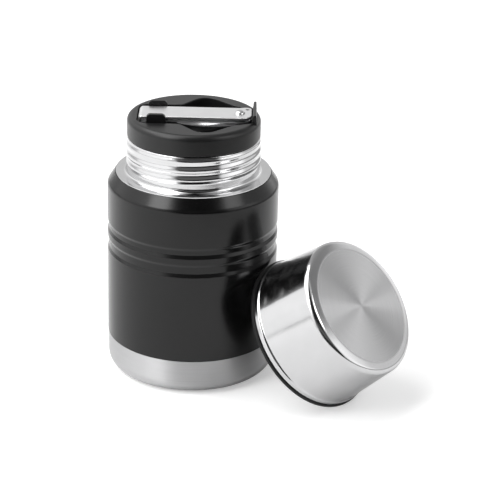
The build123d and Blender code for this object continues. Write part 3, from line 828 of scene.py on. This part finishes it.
class OBJECT_OT_jar_studio(bpy.types.Operator):
    """White floor, soft studio lights and the camera"""

    bl_idname = "object.jar_studio"
    bl_label = "Studio"
    bl_options = {"REGISTER", "UNDO"}

    def execute(self, context):
        self.floor()
        self.world()
        middle = (0, 0, 0.1)
        area_light("top_softbox", (-0.6, 0.1, 1.2), (-0.2, -0.1, 0), width=1.0, depth=1.0, power=10)
        area_light("left_softbox", (-0.77, -0.65, 0.97), middle, width=0.55, depth=0.7, power=6.5)
        area_light("right_softbox", (0.9, -0.42, 0.97), middle, width=0.5, depth=0.4, power=2.2)
        self.camera()
        return {"FINISHED"}

    def floor(self):
        """A white sheet whose right front part is cut away in an arc.

        To the camera it stays white and keeps the object's shadow. Mirrored in the object, the cut
        shows dark surroundings.
        """
        far, front, centre, radius = 3.0, -1.0, (-0.06, 0.03), 0.43
        first_turn, sweep, steps = -20, 110, 44
        turns = [radians(first_turn + sweep * step / steps) for step in range(steps + 1)]
        arc = [(centre[0] + radius * sin(turn), centre[1] - radius * cos(turn), 0) for turn in turns]
        rim = [(-far, front, 0), (arc[0][0], front, 0), *arc, (arc[-1][0], far, 0), (-far, far, 0)]
        mesh = bpy.data.meshes.new("floor")
        mesh.from_pydata(rim, [], [tuple(range(len(rim)))])
        floor = bpy.data.objects.new("floor", mesh)
        bpy.context.scene.collection.objects.link(floor)
        material, tree, shader = nodes_of("white_floor")
        white = ramp(tree, noise(tree, scale=3), "Fac", (0.9,) * 3, (0.92,) * 3)
        link(tree, white, "Color", shader, "Base Color")
        shader.inputs["Roughness"].default_value = 0.6
        shader.inputs["Specular IOR Level"].default_value = 0.1
        glow = tree.nodes.new("ShaderNodeEmission")
        mix = tree.nodes.new("ShaderNodeMixShader")
        path = tree.nodes.new("ShaderNodeLightPath")
        share = tree.nodes.new("ShaderNodeMath")
        share.operation = "MULTIPLY"
        glow_share, glow_strength = 0.22, 1.8
        share.inputs[1].default_value = glow_share
        glow.inputs["Strength"].default_value = glow_strength
        link(tree, path, "Is Camera Ray", share, 0)
        link(tree, share, "Value", mix, "Fac")
        link(tree, shader, "BSDF", mix, 1)
        link(tree, glow, "Emission", mix, 2)
        link(tree, mix, "Shader", tree.nodes["Material Output"], "Surface")
        dress(floor, material)

    def world(self):
        """Surroundings drawn by azimuth, counted from straight in front to the right.

        Four rings are stacked by height on the unit sphere: one below the horizon, the walls, a row
        of lamps, and one high up. Each is dark in front and bright on the left. On the right the walls
        and the lamps are bright as well, and the other two are dimmer than on the left.
        """
        world = bpy.data.worlds.new("studio")
        bpy.context.scene.world = world
        world.use_nodes = True
        tree = world.node_tree
        background = tree.nodes["Background"]
        background.inputs["Strength"].default_value = 2.0
        direction = tree.nodes.new("ShaderNodeTexCoord")
        turned_round = tree.nodes.new("ShaderNodeMapping")
        turned_round.inputs["Rotation"].default_value = (0, 0, radians(90))
        link(tree, direction, "Generated", turned_round, "Vector")
        azimuth = tree.nodes.new("ShaderNodeTexGradient")
        azimuth.gradient_type = "RADIAL"
        link(tree, turned_round, "Vector", azimuth, "Vector")
        height = tree.nodes.new("ShaderNodeSeparateXYZ")
        link(tree, direction, "Generated", height, "Vector")

        def around(*stops):
            """A ring of greys, each given with its azimuth in degrees."""
            ring = tree.nodes.new("ShaderNodeValToRGB")
            elements = ring.color_ramp.elements
            for angle, _ in stops[1:-1]:
                elements.new(0.5 + angle / 360)
            for element, (angle, grey) in zip(elements, stops):
                element.position = 0.5 + angle / 360
                element.color = (grey, grey, grey, 1)
            link(tree, azimuth, "Fac", ring, "Fac")
            return ring.outputs["Color"]

        low_colour, high_colour, mixed_colour = 6, 7, 2  # colour sockets of a Mix node

        def over(low, high, start, stop):
            """One ring below a height on the unit sphere, another above, blended from start to stop."""
            level = tree.nodes.new("ShaderNodeMapRange")
            level.inputs["From Min"].default_value = start
            level.inputs["From Max"].default_value = stop
            link(tree, height, "Z", level, "Value")
            both = tree.nodes.new("ShaderNodeMix")
            both.data_type = "RGBA"
            link(tree, level, "Result", both, "Factor")
            tree.links.new(low, both.inputs[low_colour])
            tree.links.new(high, both.inputs[high_colour])
            return both.outputs[mixed_colour]

        below = around((-180, 0.4), (-30, 0.4), (-24, 0.01), (44, 0.01), (50, 0.2), (150, 0.25), (180, 0.4))
        walls = around(
            (-180, 0.3), (-110, 0.45), (-100, 0.75), (-43, 0.8), (-41, 0.45), (-28, 0.45), (-24, 0.01),
            (44, 0.01), (50, 0.6), (70, 0.9), (88, 0.85), (98, 0.5), (125, 0.5), (140, 0.8), (152, 0.8),
            (172, 0.36), (180, 0.36),
        )
        high = around(
            (-180, 0.25), (-125, 0.4), (-110, 1.0), (-40, 1.0), (-25, 0.01), (40, 0.01), (50, 0.4), (80, 0.4),
            (90, 0.15), (180, 0.25),
        )
        lamp_row = around(
            (-180, 0.4), (-120, 0.8), (-40, 0.8), (-28, 0.08), (44, 0.08), (50, 0.6), (70, 0.9), (88, 0.85),
            (98, 0.45), (125, 0.4), (140, 0.6), (172, 0.4), (180, 0.4),
        )
        lower = over(over(below, walls, -0.01, 0.01), lamp_row, 0.17, 0.21)
        surroundings = over(lower, high, 0.42, 0.55)
        tree.links.new(surroundings, background.inputs["Color"])
        white = tree.nodes.new("ShaderNodeBackground")
        white.inputs["Color"].default_value = (1, 1, 1, 1)
        mix = tree.nodes.new("ShaderNodeMixShader")
        path = tree.nodes.new("ShaderNodeLightPath")
        link(tree, path, "Is Camera Ray", mix, "Fac")
        link(tree, background, "Background", mix, 1)
        link(tree, white, "Background", mix, 2)
        link(tree, mix, "Shader", tree.nodes["World Output"], "Surface")

    def camera(self):
        """Camera in front of the jar and well above it, looking down on it, with a slight roll."""
        pitch, roll = radians(CAMERA_PITCH), radians(CAMERA_ROLL)
        right, ahead = Vector((1, 0, 0)), Vector((0, cos(pitch), -sin(pitch)))
        up = right.cross(ahead)
        across = right * cos(roll) + up * sin(roll)
        upright = up * cos(roll) - right * sin(roll)
        data = bpy.data.cameras.new("camera")
        data.sensor_width = SENSOR
        data.lens = LENS
        data.clip_start, data.clip_end = 0.05, 50
        camera = bpy.data.objects.new("camera", data)
        turn = Matrix((across, upright, -ahead)).transposed().to_4x4()
        camera.matrix_world = Matrix.Translation(CAMERA_PLACE) @ turn
        bpy.context.scene.collection.objects.link(camera)
        bpy.context.scene.camera = camera
        bpy.context.scene.view_settings.view_transform = "Standard"


class VIEW3D_PT_food_jar(bpy.types.Panel):
    """Buttons and settings of the food jar"""

    bl_idname = "VIEW3D_PT_food_jar"
    bl_label = "Food Jar"
    bl_space_type = "VIEW_3D"
    bl_region_type = "UI"
    bl_category = "Food Jar"

    def draw(self, context):
        layout = self.layout
        for settings in (context.scene.jar_sizes, context.scene.jar_finishes):
            box = layout.box()
            for name in settings.__annotations__:
                box.prop(settings, name)
        for operator in OPERATORS:
            layout.operator(operator.bl_idname)


OPERATORS = (
    OBJECT_OT_jar_shell,
    OBJECT_OT_jar_neck,
    OBJECT_OT_jar_base,
    OBJECT_OT_jar_vessel,
    OBJECT_OT_jar_inside,
    OBJECT_OT_jar_stopper,
    OBJECT_OT_jar_spoon,
    OBJECT_OT_jar_cup,
    OBJECT_OT_jar_liner,
    OBJECT_OT_jar_studio,
)
CLASSES = (JarSizes, Finishes, *OPERATORS, VIEW3D_PT_food_jar)


def register():
    for cls in CLASSES:
        bpy.utils.register_class(cls)
    bpy.types.Scene.jar_sizes = PointerProperty(type=JarSizes)
    bpy.types.Scene.jar_finishes = PointerProperty(type=Finishes)


def unregister():
    del bpy.types.Scene.jar_finishes
    del bpy.types.Scene.jar_sizes
    for cls in reversed(CLASSES):
        bpy.utils.unregister_class(cls)


def main():
    """Makes every piece and the studio."""
    register()
    for operator in OPERATORS:
        group, name = operator.bl_idname.split(".")
        getattr(getattr(bpy.ops, group), name)()


if __name__ == "__main__":
    main()
